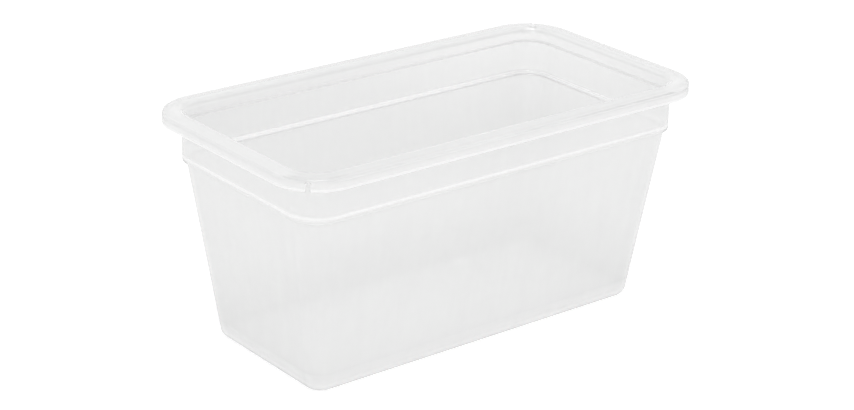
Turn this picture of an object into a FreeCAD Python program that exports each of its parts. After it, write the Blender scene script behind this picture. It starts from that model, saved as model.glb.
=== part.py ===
import FreeCAD, Part
import math
import os

# Gastronorm container, one third size: a deep rectangular food pan moulded in one piece of
# translucent plastic. A hooked rim runs round the mouth, a straight collar hangs from it, and
# below a stacking shoulder the four walls taper to a flat base.
# Millimetres, +Z up, length along X, width along Y. The origin is the middle of the underside.

# ---------------------------------------------------------------- driving dimensions

overall_length = 325.0
overall_width = 176.0
overall_height = 156.0

rim_corner_radius = 32.5      # of the lip's outer face, seen from above
rim_overhang = 12.0           # from the lip's outer face in to the collar's outer face
rim_fall = 1.1                # how far the deck slopes down from its crest to the outer edge
rim_crest_width = 1.2         # level stretch at the deck's inner side
rim_crest_radius = 8.0        # where the slope meets the level crest
rim_thickness = 2.2           # of the deck
rim_inner_edge_radius = 5.0   # where the deck rolls over into the collar
rim_outer_edge_radius = 1.8   # where the deck turns down into the lip
rim_root_radius = 1.5         # in the hollow under the deck

lip_depth = 7.4               # of the lip's outer face, below the deck's outer edge
lip_thickness = 1.9
lip_end_radius = 0.6

wall_thickness = 2.2          # of the collar, the shoulder and the four walls
shoulder_height = 124.0       # top of the ledge inside, above the underside
shoulder_step = 3.0           # how far the walls stand in from the collar
shoulder_edge_radius = 1.2
shoulder_root_radius = 1.2
neck_height = 2.0             # upright stretch between the shoulder and the taper

base_length = 263.0           # where the tapered walls would meet the underside
base_width = 112.6
base_corner_radius = 11.5
base_thickness = 2.5
base_edge_radius = 6.0        # round the foot of the walls, outside
base_inner_edge_radius = 4.0  # round the floor, inside

drain_notch_width = 3.2       # one in the lip at the middle of each corner
drain_notch_height = 6.2

# ---------------------------------------------------------------- worked out from those

deck_edge_height = overall_height - rim_fall
lip_bottom_height = deck_edge_height - lip_depth
deck_underside_height = deck_edge_height - rim_thickness
shoulder_underside_height = shoulder_height - wall_thickness
body_top_height = shoulder_underside_height - neck_height

collar_outer_inset = rim_overhang
collar_inner_inset = collar_outer_inset + wall_thickness
crest_inset = collar_inner_inset - rim_inner_edge_radius - rim_crest_width
body_outer_inset = collar_outer_inset + shoulder_step
body_inner_inset = body_outer_inset + wall_thickness

corner_centre_x = overall_length / 2 - rim_corner_radius
corner_centre_y = overall_width / 2 - rim_corner_radius

UP = FreeCAD.Vector(0, 0, 1)
MIDDLE = FreeCAD.Vector(0, 0, 0)


# ---------------------------------------------------------------- rim, collar and shoulder

def rounded_section(corners):
    """Face of a closed section whose corners are (inset, height, radius).

    The inset is measured in from the lip's outer face. The section stands in the XZ plane with
    the middle of the rim's corner at X = 0, so that it can be turned about the Z axis there.
    """
    points = [FreeCAD.Vector(rim_corner_radius - inset, 0, height) for inset, height, _ in corners]
    starts, middles, ends = [], [], []
    for index, point in enumerate(points):
        radius = corners[index][2]
        back = (points[index - 1] - point).normalize()
        ahead = (points[(index + 1) % len(points)] - point).normalize()
        half_angle = back.getAngle(ahead) / 2
        reach = radius / math.tan(half_angle)
        inward = (back + ahead).normalize()
        starts.append(point + back * reach)
        ends.append(point + ahead * reach)
        middles.append(point + inward * (radius / math.sin(half_angle) - radius))
    edges = []
    for index in range(len(points)):
        if corners[index][2] > 0:
            edges.append(Part.Arc(starts[index], middles[index], ends[index]).toShape())
        edges.append(Part.makeLine(ends[index], starts[(index + 1) % len(points)]))
    return Part.Face(Part.Wire(edges))


def ring_section():
    """Section of everything above the tapered walls, as one bent sheet."""
    return rounded_section([
        # outside, from the top of the tapered wall up to the lip
        (body_outer_inset, body_top_height, 0),
        (body_outer_inset, shoulder_underside_height, shoulder_root_radius),
        (collar_outer_inset, shoulder_underside_height, shoulder_edge_radius),
        (collar_outer_inset, deck_underside_height, rim_root_radius),
        (lip_thickness, deck_underside_height, rim_root_radius),
        (lip_thickness, lip_bottom_height, lip_end_radius),
        (0, lip_bottom_height, lip_end_radius),
        (0, deck_edge_height, rim_outer_edge_radius),
        # inside, from the rim's crest down to the top of the tapered wall
        (crest_inset, overall_height, rim_crest_radius),
        (collar_inner_inset, overall_height, rim_inner_edge_radius),
        (collar_inner_inset, shoulder_height, shoulder_root_radius),
        (body_inner_inset, shoulder_height, shoulder_edge_radius),
        (body_inner_inset, body_top_height, 0),
    ])


def ring():
    """The section carried round the mouth: four turned corners joined by four straight runs."""
    section = ring_section()
    pieces = []
    for quarter in range(4):
        runs_along_x = quarter % 2 == 1
        run = 2 * (corner_centre_x if runs_along_x else corner_centre_y)
        corner = section.revolve(MIDDLE, UP, 90)
        straight = section.extrude(FreeCAD.Vector(0, -run, 0))
        side_x = 1 if quarter in (0, 3) else -1
        side_y = 1 if quarter in (0, 1) else -1
        for piece in (corner, straight):
            piece.rotate(MIDDLE, UP, 90 * quarter)
            piece.translate(FreeCAD.Vector(side_x * corner_centre_x, side_y * corner_centre_y, 0))
            pieces.append(piece)
    return pieces[0].multiFuse(pieces[1:])


# ---------------------------------------------------------------- tapered walls and base

def rounded_rectangle(length, width, radius, height):
    """Closed outline of four sides joined by four arcs, lying level at the given height."""
    edges = []
    for quarter in range(4):
        side_x = 1 if quarter in (0, 3) else -1
        side_y = 1 if quarter in (0, 1) else -1
        centre = FreeCAD.Vector(side_x * (length / 2 - radius), side_y * (width / 2 - radius), height)
        arc = Part.makeCircle(radius, centre, UP, 90 * quarter, 90 * (quarter + 1))
        if edges:
            edges.append(Part.makeLine(edges[-1].Vertexes[-1].Point, arc.Vertexes[0].Point))
        edges.append(arc)
    edges.append(Part.makeLine(edges[-1].Vertexes[-1].Point, edges[0].Vertexes[0].Point))
    return Part.Wire(edges)


def tapered_block(wall, bottom_height, edge_radius):
    """Solid block that follows the walls' taper, standing in from their outside by the wall.

    It runs from the bottom height up to the shoulder, with its bottom edge rounded.
    """
    levels = []
    for height in (bottom_height, body_top_height):
        rise = height / body_top_height
        top_length = overall_length - 2 * body_outer_inset
        top_width = overall_width - 2 * body_outer_inset
        top_radius = rim_corner_radius - body_outer_inset
        levels.append(rounded_rectangle(
            base_length + (top_length - base_length) * rise - 2 * wall,
            base_width + (top_width - base_width) * rise - 2 * wall,
            base_corner_radius + (top_radius - base_corner_radius) * rise - wall,
            height))
    block = Part.makeLoft(levels, True, True)
    bottom_edges = [edge for edge in block.Edges
                    if all(abs(vertex.Z - bottom_height) < 1e-6 for vertex in edge.Vertexes)]
    return block.makeFillet(edge_radius, bottom_edges)


def body():
    """The four tapered walls and the base, open at the top."""
    outside = tapered_block(0, 0, base_edge_radius)
    inside = tapered_block(wall_thickness, base_thickness, base_inner_edge_radius)
    return outside.cut(inside)


# ---------------------------------------------------------------- drain notches

def drain_notch_cutters():
    """One round-topped slot through the lip at the middle of each corner, open at the bottom."""
    half_width = drain_notch_width / 2
    depth = 2 * lip_thickness
    arch_height = lip_bottom_height + drain_notch_height - half_width
    slot = Part.makeBox(depth, drain_notch_width, drain_notch_height,
                        FreeCAD.Vector(rim_corner_radius - 1.5 * lip_thickness, -half_width,
                                       arch_height - drain_notch_height))
    arch = Part.makeCylinder(half_width, depth,
                             FreeCAD.Vector(rim_corner_radius - 1.5 * lip_thickness, 0, arch_height),
                             FreeCAD.Vector(1, 0, 0))
    cutter = slot.fuse(arch)
    cutters = []
    for quarter in range(4):
        side_x = 1 if quarter in (0, 3) else -1
        side_y = 1 if quarter in (0, 1) else -1
        placed = cutter.copy()
        placed.rotate(MIDDLE, UP, 45 + 90 * quarter)
        placed.translate(FreeCAD.Vector(side_x * corner_centre_x, side_y * corner_centre_y, 0))
        cutters.append(placed)
    return cutters


# ---------------------------------------------------------------- the container

def container():
    """One moulding, one solid."""
    moulding = ring().fuse(body()).removeSplitter()
    return moulding.cut(drain_notch_cutters()).Solids[0]


os.makedirs("parts", exist_ok=True)
container().exportStep("parts/container.step")
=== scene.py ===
import math

import bpy
from mathutils import Matrix, Vector


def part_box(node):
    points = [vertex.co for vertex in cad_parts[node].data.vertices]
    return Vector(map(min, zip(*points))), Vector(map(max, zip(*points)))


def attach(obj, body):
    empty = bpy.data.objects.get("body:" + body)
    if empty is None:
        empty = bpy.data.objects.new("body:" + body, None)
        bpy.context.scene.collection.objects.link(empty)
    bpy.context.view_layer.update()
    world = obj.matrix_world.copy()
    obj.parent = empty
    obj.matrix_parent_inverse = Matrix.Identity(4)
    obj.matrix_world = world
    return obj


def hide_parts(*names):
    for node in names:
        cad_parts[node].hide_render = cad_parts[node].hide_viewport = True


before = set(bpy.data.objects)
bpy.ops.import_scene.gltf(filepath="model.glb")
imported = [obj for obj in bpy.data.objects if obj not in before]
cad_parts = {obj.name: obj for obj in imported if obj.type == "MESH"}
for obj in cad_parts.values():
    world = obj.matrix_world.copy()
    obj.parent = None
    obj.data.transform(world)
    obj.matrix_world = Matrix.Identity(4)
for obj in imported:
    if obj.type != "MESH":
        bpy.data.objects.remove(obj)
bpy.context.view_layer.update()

# ---- The container ---------------------------------------------------------------------------
# A one third size gastronorm pan, injection moulded in a single shot of milky polypropylene.
# The mould gives it one wall thickness all over, a hooked rim with a drain notch in each
# corner, and a satin skin. Every edge is rounded so that the plastic flows and food wipes off.

pan_low, pan_high = (Vector(corner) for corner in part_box("container"))

pan_sizes = {
    "Length": pan_high.x - pan_low.x,
    "Width": pan_high.y - pan_low.y,
    "Height": pan_high.z - pan_low.z,
    "Rim corner radius": 0.0325,
    "Rim overhang": 0.012,
    "Rim fall": 0.0011,
    "Rim crest width": 0.0012,
    "Rim crest radius": 0.008,
    "Rim thickness": 0.0022,
    "Rim inner edge radius": 0.005,
    "Rim outer edge radius": 0.0018,
    "Rim root radius": 0.0015,
    "Lip depth": 0.0074,
    "Lip thickness": 0.0019,
    "Lip end radius": 0.0006,
    "Wall thickness": 0.0022,
    "Shoulder height": 0.124,
    "Shoulder step": 0.003,
    "Shoulder radius": 0.0012,
    "Neck height": 0.002,
    "Base length": 0.263,
    "Base width": 0.1126,
    "Base corner radius": 0.0115,
    "Base thickness": 0.0025,
    "Base edge radius": 0.006,
    "Base inner edge radius": 0.004,
    "Drain notch width": 0.0032,
    "Drain notch height": 0.0062,
    "Drain notch flare": 0.001,
}
corner_steps = 32    # faces round a quarter turn of the plan
edge_steps = 12      # faces round each rounded edge
sharp_angle = math.radians(40)    # an edge below this is shaded smooth
weld_gap = 1e-6      # points nearer than this become one
cut_margin = 1e-5    # how far a cutter's corner keeps off a face it would meet

moulding = bpy.data.node_groups.new("Moulded pan", "GeometryNodeTree")
moulding.is_modifier = True
tree = moulding    # the tree that new nodes go into
identifiers = {}
for name, value in pan_sizes.items():
    socket = tree.interface.new_socket(name, in_out="INPUT", socket_type="NodeSocketFloat")
    socket.subtype = "DISTANCE"
    identifiers[name] = socket.identifier
skin = tree.interface.new_socket("Skin", in_out="INPUT", socket_type="NodeSocketMaterial")
identifiers["Skin"] = skin.identifier
tree.interface.new_socket("Pan", in_out="OUTPUT", socket_type="NodeSocketGeometry")
size = {socket.name: socket for socket in tree.nodes.new("NodeGroupInput").outputs}


def add(kind, *values, **settings):
    """A node of this kind, with its settings and then its inputs filled in order."""
    node = tree.nodes.new(kind)
    for name, value in settings.items():
        setattr(node, name, value)
    for socket, value in zip((s for s in node.inputs if s.enabled), values):
        if isinstance(value, bpy.types.NodeSocket):
            tree.links.new(value, socket)
        elif value is not None:
            socket.default_value = value
    return node


def calc(operation, first, second=0.0):
    """The result of one sum on two numbers or sockets."""
    return add("ShaderNodeMath", first, second, operation=operation).outputs[0]


def plus(*values):
    total = values[0]
    for value in values[1:]:
        total = calc("ADD", total, value)
    return total


def minus(first, *others):
    for value in others:
        first = calc("SUBTRACT", first, value)
    return first


def times(first, second):
    return calc("MULTIPLY", first, second)


def by_index(values):
    """The value that belongs to each point of a curve, by its place along it."""
    chooser = add("GeometryNodeIndexSwitch", data_type="FLOAT")
    while len(chooser.index_switch_items) < len(values):
        chooser.index_switch_items.new()
    tree.links.new(add("GeometryNodeInputIndex").outputs[0], chooser.inputs[0])
    for socket, value in zip(chooser.inputs[1:], values):
        if isinstance(value, bpy.types.NodeSocket):
            tree.links.new(value, socket)
        else:
            socket.default_value = value
    return chooser.outputs[0]


def keep(geometry, **fields):
    """Geometry that carries these fields along, and the fields as carried."""
    store = tree.nodes.new("GeometryNodeCaptureAttribute")
    store.domain = "POINT"
    for name in fields:
        store.capture_items.new("FLOAT", name)
    tree.links.new(geometry, store.inputs[0])
    for socket, value in zip(store.inputs[1:], fields.values()):
        tree.links.new(value, socket)
    return [store.outputs[0], *store.outputs[1:1 + len(fields)]]


def corner_points(corners):
    """An open line through these corners, which are (across, height, edge radius)."""
    across, heights, _ = zip(*corners)
    line = add("GeometryNodeMeshLine", len(corners)).outputs[0]
    line = add("GeometryNodeMeshToCurve", line).outputs[0]
    place = add("ShaderNodeCombineXYZ", by_index(across), by_index(heights), 0.0).outputs[0]
    return add("GeometryNodeSetPosition", line, None, place).outputs[0]


def rounded(line, corners):
    """The line with its corners rounded, and how far across and how high each point lies."""
    radii = by_index([radius for _, _, radius in corners])
    line = add("GeometryNodeFilletCurve", line, edge_steps - 1, radii, mode="POLY").outputs[0]
    spot = add("ShaderNodeSeparateXYZ", add("GeometryNodeInputPosition").outputs[0])
    return keep(line, across=spot.outputs[0], height=spot.outputs[1])


# The section, from the middle of the underside out and up to the rim, over it and back inside.
deck_edge = minus(size["Height"], size["Rim fall"])
deck_underside = minus(deck_edge, size["Rim thickness"])
lip_bottom = minus(deck_edge, size["Lip depth"])
shoulder_underside = minus(size["Shoulder height"], size["Wall thickness"])
body_top = minus(shoulder_underside, size["Neck height"])
collar_inside = plus(size["Rim overhang"], size["Wall thickness"])
crest = minus(collar_inside, size["Rim inner edge radius"], size["Rim crest width"])
body_outside = plus(size["Rim overhang"], size["Shoulder step"])
body_inside = plus(body_outside, size["Wall thickness"])
foot = plus(body_inside, size["Base edge radius"])

section = [   # inset from the lip's outer face, height, edge radius
    (foot, 0.0, 0.0),
    (body_outside, 0.0, size["Base edge radius"]),
    (body_outside, body_top, 0.0),
    (body_outside, shoulder_underside, size["Shoulder radius"]),
    (size["Rim overhang"], shoulder_underside, size["Shoulder radius"]),
    (size["Rim overhang"], deck_underside, size["Rim root radius"]),
    (size["Lip thickness"], deck_underside, size["Rim root radius"]),
    (size["Lip thickness"], lip_bottom, size["Lip end radius"]),
    (0.0, lip_bottom, size["Lip end radius"]),
    (0.0, deck_edge, size["Rim outer edge radius"]),
    (crest, size["Height"], size["Rim crest radius"]),
    (collar_inside, size["Height"], size["Rim inner edge radius"]),
    (collar_inside, size["Shoulder height"], size["Shoulder radius"]),
    (body_inside, size["Shoulder height"], size["Shoulder radius"]),
    (body_inside, body_top, 0.0),
    (body_inside, size["Base thickness"], size["Base inner edge radius"]),
    (foot, size["Base thickness"], 0.0),
]
in_middle = [1.0] + [0.0] * (len(section) - 2) + [1.0]    # both ends close the base
line, closing = keep(corner_points(section), closing=by_index(in_middle))
line, inset, height = rounded(line, section)

# The way round the mouth: a fan of points at each corner, which the long sides join.
points_a_corner = corner_steps + 1
ring = add("GeometryNodeCurvePrimitiveCircle", 4 * points_a_corner, mode="RADIUS").outputs[0]
index = add("GeometryNodeInputIndex").outputs[0]
quarter = calc("FLOOR", calc("DIVIDE", index, points_a_corner))
step = calc("MODULO", index, points_a_corner)
turn = times(plus(quarter, calc("DIVIDE", step, corner_steps)), math.pi / 2)
diagonal = times(plus(quarter, 0.5), math.pi / 2)
ring, turn, side_x, side_y = keep(
    ring, turn=turn,
    side_x=calc("SIGN", calc("COSINE", diagonal)), side_y=calc("SIGN", calc("SINE", diagonal)))

# The section is carried round, and each point takes the outline of its own height.
mesh = add("GeometryNodeCurveToMesh", ring, line).outputs[0]
taper = add("ShaderNodeMath", minus(1.0, calc("DIVIDE", height, body_top)), 0.0,
            operation="ADD", use_clamp=True).outputs[0]


def narrowing(top, bottom):
    """How much less than at the shoulder the plan measures at a point's height."""
    return times(taper, minus(top, bottom))


radius = minus(size["Rim corner radius"], inset, narrowing(
    minus(size["Rim corner radius"], body_outside), size["Base corner radius"]))
outline = []
for full, at_base, side, wave in (("Length", "Base length", side_x, "COSINE"),
                                  ("Width", "Base width", side_y, "SINE")):
    half = times(size[full], 0.5)
    half_here = minus(half, inset, narrowing(minus(half, body_outside), times(size[at_base], 0.5)))
    reach = plus(times(side, minus(half_here, radius)), times(radius, calc(wave, turn)))
    outline.append(times(reach, minus(1.0, closing)))
mesh = add("GeometryNodeSetPosition", mesh, None,
           add("ShaderNodeCombineXYZ", *outline, height).outputs[0]).outputs[0]
mesh = add("GeometryNodeMergeByDistance", mesh, None, weld_gap).outputs[0]

# A drain notch through the lip at the middle of each corner, round at the top and flared below.
notch_half = times(size["Drain notch width"], 0.5)
notch_top = plus(lip_bottom, size["Drain notch height"])
notch_foot = minus(lip_bottom, cut_margin)
mouth_half = plus(notch_half, times(size["Drain notch flare"], 2.0))
mouth_foot = minus(notch_foot, size["Lip thickness"])
notch = [   # across, height, edge radius
    (notch_half, notch_top, notch_half),
    (times(notch_half, -1.0), notch_top, notch_half),
    (times(notch_half, -1.0), notch_foot, size["Drain notch flare"]),
    (times(mouth_half, -1.0), notch_foot, 0.0),
    (times(mouth_half, -1.0), mouth_foot, 0.0),
    (mouth_half, mouth_foot, 0.0),
    (mouth_half, notch_foot, 0.0),
    (notch_half, notch_foot, size["Drain notch flare"]),
]
profile = add("GeometryNodeSetSplineCyclic", corner_points(notch), None, True).outputs[0]
profile, across, height = rounded(profile, notch)
way = add("GeometryNodeCurvePrimitiveLine").outputs[0]
inner_end = minus(size["Rim corner radius"], times(size["Lip thickness"], 1.5))
outer_end = plus(size["Rim corner radius"], times(size["Lip thickness"], 0.5))
way, depth = keep(way, depth=by_index([inner_end, outer_end]))
cutter = add("GeometryNodeCurveToMesh", way, profile, 1.0, True).outputs[0]
cutter = add("GeometryNodeSetPosition", cutter, None,
             add("ShaderNodeCombineXYZ", depth, across, height).outputs[0]).outputs[0]
cutter = add("GeometryNodeMergeByDistance", cutter, None, weld_gap).outputs[0]
corners = add("GeometryNodeMeshLine", 4).outputs[0]
index = add("GeometryNodeInputIndex").outputs[0]
diagonal = times(plus(index, 0.5), math.pi / 2)
centre = [times(calc("SIGN", calc(wave, diagonal)),
                minus(times(size[full], 0.5), size["Rim corner radius"]))
          for full, wave in (("Length", "COSINE"), ("Width", "SINE"))]
corners = add("GeometryNodeSetPosition", corners, None,
              add("ShaderNodeCombineXYZ", *centre, 0.0).outputs[0]).outputs[0]
facing = add("FunctionNodeEulerToRotation",
             add("ShaderNodeCombineXYZ", 0.0, 0.0, diagonal).outputs[0]).outputs[0]
cutters = add("GeometryNodeInstanceOnPoints", corners, None, cutter, None, None, facing).outputs[0]
cutters = add("GeometryNodeRealizeInstances", cutters).outputs[0]
# The cut faces are marked so that the plastic can give them a denser veil: a painted bright
# outline round each notch.
cutters = add("GeometryNodeStoreNamedAttribute", cutters, None, "notch face", 1.0,
              data_type="FLOAT", domain="FACE").outputs[0]
cutters = add("GeometryNodeSetMaterial", cutters, None, size["Skin"]).outputs[0]
mesh = add("GeometryNodeSetMaterial", mesh, None, size["Skin"]).outputs[0]
notched = add("GeometryNodeMeshBoolean", mesh, None, operation="DIFFERENCE", solver="EXACT")
tree.links.new(cutters, notched.inputs["Mesh 2"])
mesh = add("GeometryNodeSetShadeSmooth", notched.outputs[0]).outputs[0]
gentle = calc("LESS_THAN", add("GeometryNodeInputMeshEdgeAngle").outputs[0], sharp_angle)
mesh = add("GeometryNodeSetShadeSmooth", mesh, None, gentle, domain="EDGE").outputs[0]
mesh = add("GeometryNodeRealizeInstances", mesh).outputs[0]
mesh = add("GeometryNodeSetMaterial", mesh, None, size["Skin"]).outputs[0]
add("NodeGroupOutput", mesh)

# The plastic: clear in itself, with a milky veil where light enters it. The veil is thin on the
# walls. At the foot, the shoulder and the end of the lip, where the plastic is thick, it is made
# denser, as painted glow that stands in for the light scattered along long paths in the plastic.
thin_veil = 0.35
# The thin veil is the plastic's own milkiness; the foot and band veils are whiter than that, as
# painted glow of light scattered in the thick plastic.
painted_foot_glow_veil = 0.6
painted_glow_veil = 0.95
painted_glow_rise = 0.0018    # how much higher the painted glow bands show on the outside faces
shoulder_top = pan_sizes["Shoulder height"]
lip_end = pan_sizes["Height"] - pan_sizes["Rim fall"] - pan_sizes["Lip depth"] - painted_glow_rise
veil_and_painted_glow_by_height = [   # height on an inside face, veil; the denser stops are painted glow
    (0.0, painted_foot_glow_veil), (0.004, painted_foot_glow_veil), (0.012, thin_veil),
    (shoulder_top - 0.0018, thin_veil), (shoulder_top - 0.0009, painted_glow_veil),
    (shoulder_top + 0.0003, painted_glow_veil), (shoulder_top + 0.0012, thin_veil),
    (lip_end - 0.0009, thin_veil), (lip_end, painted_glow_veil),
    (lip_end + 0.0007, painted_glow_veil), (lip_end + 0.0021, thin_veil),
]

plastic = bpy.data.materials.new("Milky polypropylene")
plastic.use_nodes = True
tree = plastic.node_tree
surface = tree.nodes["Principled BSDF"]
pure_white = (1.0, 1.0, 1.0, 1.0)
surface.inputs["Base Color"].default_value = pure_white
surface.inputs["IOR"].default_value = 1.49
place = add("ShaderNodeTexCoord").outputs["Object"]


def fade(value, start, end, first, last, **settings):
    """A value that goes from first to last while the given one goes from start to end."""
    return add("ShaderNodeMapRange", value, start, end, first, last, **settings).outputs[0]


noise_detail = 3.0
noise_roughness = 0.55


def speckle(scale, low, high, stretch=(1.0, 1.0, 1.0)):
    """Soft noise over the plastic, from low to high, in so many blobs a metre."""
    spread = add("ShaderNodeMapping", place, None, None, stretch).outputs[0]
    noise = add("ShaderNodeTexNoise", spread, scale, noise_detail, noise_roughness).outputs[0]
    return fade(noise, start=0.3, end=0.7, first=low, last=high)


# An outside face is one that looks away from the pan's middle.
face = add("ShaderNodeNewGeometry").outputs
from_middle = add("ShaderNodeVectorMath", place, (1.0, 1.0, 0.0), operation="MULTIPLY").outputs[0]
outward = add("ShaderNodeVectorMath", from_middle, face["Normal"],
              operation="DOT_PRODUCT").outputs["Value"]
outside = calc("GREATER_THAN", outward, 0.0)
level = minus(add("ShaderNodeSeparateXYZ", place).outputs[2], times(outside, painted_glow_rise))
# The veil by height, with its painted glow bands, set a little higher on the outside faces.
veil_and_glow_ramp = add("ShaderNodeValToRGB", calc("DIVIDE", level, pan_sizes["Height"]))
stops = veil_and_glow_ramp.color_ramp.elements
while len(stops) < len(veil_and_painted_glow_by_height):
    stops.new(1.0)
for stop, (height, veil) in zip(stops, veil_and_painted_glow_by_height):
    stop.position = height / pan_sizes["Height"]
    stop.color = (veil, veil, veil, 1.0)
flow_marks = speckle(scale=90.0, low=0.98, high=1.02, stretch=(1.0, 1.0, 0.12))
clouds = speckle(scale=25.0, low=0.97, high=1.03)
entering = minus(1.0, face["Backfacing"])
# The notch's cut faces take the denser veil too: a painted bright outline round each notch.
notch_face = add("ShaderNodeAttribute", attribute_name="notch face").outputs["Fac"]
veil_and_painted_glow = calc("MAXIMUM", veil_and_glow_ramp.outputs[0], times(notch_face, painted_glow_veil))
# The veil carries the painted glow bands as well as the plastic's own milkiness.
veil = times(times(veil_and_painted_glow, times(flow_marks, clouds)), entering)
tree.links.new(minus(1.0, veil), surface.inputs["Transmission Weight"])
tree.links.new(speckle(scale=160.0, low=0.04, high=0.1), surface.inputs["Roughness"])
ripple_strength, ripple_height = 0.2, 0.0002
ripple = add("ShaderNodeBump", ripple_strength, ripple_height)
tree.links.new(speckle(scale=45.0, low=0.0, high=1.0), ripple.inputs["Height"])
grain_strength, grain_height = 0.1, 0.00002
grain = add("ShaderNodeBump", grain_strength, grain_height)
tree.links.new(speckle(scale=1500.0, low=0.0, high=1.0), grain.inputs["Height"])
tree.links.new(ripple.outputs[0], grain.inputs["Normal"])
tree.links.new(grain.outputs[0], surface.inputs["Normal"])

pan = bpy.data.objects.new("pan", bpy.data.meshes.new("pan"))
bpy.context.collection.objects.link(pan)
modifier = pan.modifiers.new("Moulded pan", "NODES")
modifier.node_group = moulding
for name, value in pan_sizes.items():
    modifier[identifiers[name]] = value
modifier[identifiers["Skin"]] = plastic
pan.modifiers.new("Even shading", "WEIGHTED_NORMAL").keep_sharp = True
made = bpy.data.meshes.new_from_object(pan.evaluated_get(bpy.context.evaluated_depsgraph_get()))
pan.modifiers.clear()
pan.data = made
pan.name = "moulded_pan"
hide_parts("container")
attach(pan, "root")

# ---- The floor and the light -----------------------------------------------------------------
# A white studio, dimmer overhead, with one softbox there, and a pale table that runs out of
# sight. The table is frosted and glows a little by itself, as if lit from below as for glassware.
# Beyond the pan's far corner it carries a painted pool of light, seen only through the plastic.


def by_ray(usual, camera, glossy, transmission):
    """A value that differs for the rays that come from the camera, a gloss or clear plastic."""
    path = add("ShaderNodeLightPath").outputs
    value = usual
    for kind, special in (("Is Camera Ray", camera), ("Is Glossy Ray", glossy),
                          ("Is Transmission Ray", transmission)):
        value = add("ShaderNodeMix", path[kind], value, special).outputs[0]
    return value


floor_reach = 6.0
floor_gap = 0.0002    # a hair of air under the pan
floor_mesh = bpy.data.meshes.new("floor")
floor_mesh.from_pydata([(x * floor_reach, y * floor_reach, -floor_gap)
                        for x, y in ((-1, -1), (1, -1), (1, 1), (-1, 1))], [], [(0, 1, 2, 3)])
floor = bpy.data.objects.new("floor", floor_mesh)
bpy.context.collection.objects.link(floor)
white = bpy.data.materials.new("White floor")
white.use_nodes = True
tree = white.node_tree
tree.nodes.clear()
matt = add("ShaderNodeBsdfDiffuse", by_ray(usual=0.5, camera=0.5, glossy=0.6, transmission=0.35))
# A painted pool of light on the table, seen only through the plastic: the glow for those rays
# rises towards this spot.
painted_light_pool = (0.5, 0.47, 0.0)
painted_pool_reach = 0.36
from_painted_pool = add("ShaderNodeVectorMath", add("ShaderNodeTexCoord").outputs["Object"], painted_light_pool,
                operation="DISTANCE").outputs["Value"]
painted_pool_glow = fade(from_painted_pool, start=0.0, end=painted_pool_reach, first=0.66, last=0.51,
              interpolation_type="SMOOTHSTEP")
glow = add("ShaderNodeEmission", pure_white,
           by_ray(usual=0.52, camera=0.65, glossy=0.25, transmission=painted_pool_glow))
both = add("ShaderNodeAddShader", matt.outputs[0], glow.outputs[0])
add("ShaderNodeOutputMaterial", both.outputs[0])
floor_mesh.materials.append(white)

world = bpy.data.worlds.new("Studio")
bpy.context.scene.world = world
world.use_nodes = True
tree = world.node_tree
upward = add("ShaderNodeSeparateXYZ", add("ShaderNodeTexCoord").outputs["Generated"]).outputs[2]
air = fade(upward, start=0.1, end=1.0, first=1.0, last=0.72)
seen_air = fade(upward, start=0.3, end=1.0, first=0.86, last=0.4)
tree.links.new(by_ray(usual=air, camera=1.0, glossy=seen_air, transmission=seen_air),
               tree.nodes["Background"].inputs["Strength"])
tree.nodes["Background"].inputs["Color"].default_value = pure_white

softbox = bpy.data.lights.new("Softbox", "AREA")
softbox.shape = "RECTANGLE"
softbox.size = 0.6
softbox.size_y = 0.45
softbox.energy = 4.8
softbox_place = (-0.2, -0.2, 1.5)
lamp = bpy.data.objects.new("Softbox", softbox)
lamp.location = softbox_place
bpy.context.collection.objects.link(lamp)
clear_bounces = 128    # light rings inside the rim many times before it leaves
soft_bounces = 8
for kind in ("max_bounces", "transmission_bounces", "glossy_bounces"):
    setattr(bpy.context.scene.cycles, kind, clear_bounces)
bpy.context.scene.cycles.diffuse_bounces = soft_bounces

# ---- The camera ------------------------------------------------------------------------------
# A long lens that looks down on the pan's near left corner. It aims a little off the pan's
# middle and is turned a little about its own line of sight.
azimuth, elevation, roll = math.radians(-38.52), math.radians(21.98), math.radians(1.09)
distance, focal = 1.45286, 93.48
aim_height, aim_right, aim_up = 0.075, -0.00178, 0.00272
sensor_width = 36
back = Vector((math.sin(azimuth) * math.cos(elevation), -math.cos(azimuth) * math.cos(elevation),
               math.sin(elevation)))
right = Vector((math.cos(azimuth), math.sin(azimuth), 0))
up = back.cross(right)
right, up = (math.cos(roll) * right + math.sin(roll) * up,
             math.cos(roll) * up - math.sin(roll) * right)
aim = Vector((0, 0, aim_height)) + aim_right * right + aim_up * up
camera = bpy.data.objects.new("Camera", bpy.data.cameras.new("Camera"))
camera.data.lens = focal
camera.data.sensor_width = sensor_width
camera.matrix_world = Matrix.Translation(aim + distance * back) @ Matrix(
    (right, up, back)).transposed().to_4x4()
bpy.context.collection.objects.link(camera)
bpy.context.scene.camera = camera
bpy.context.scene.view_settings.view_transform = "Standard"
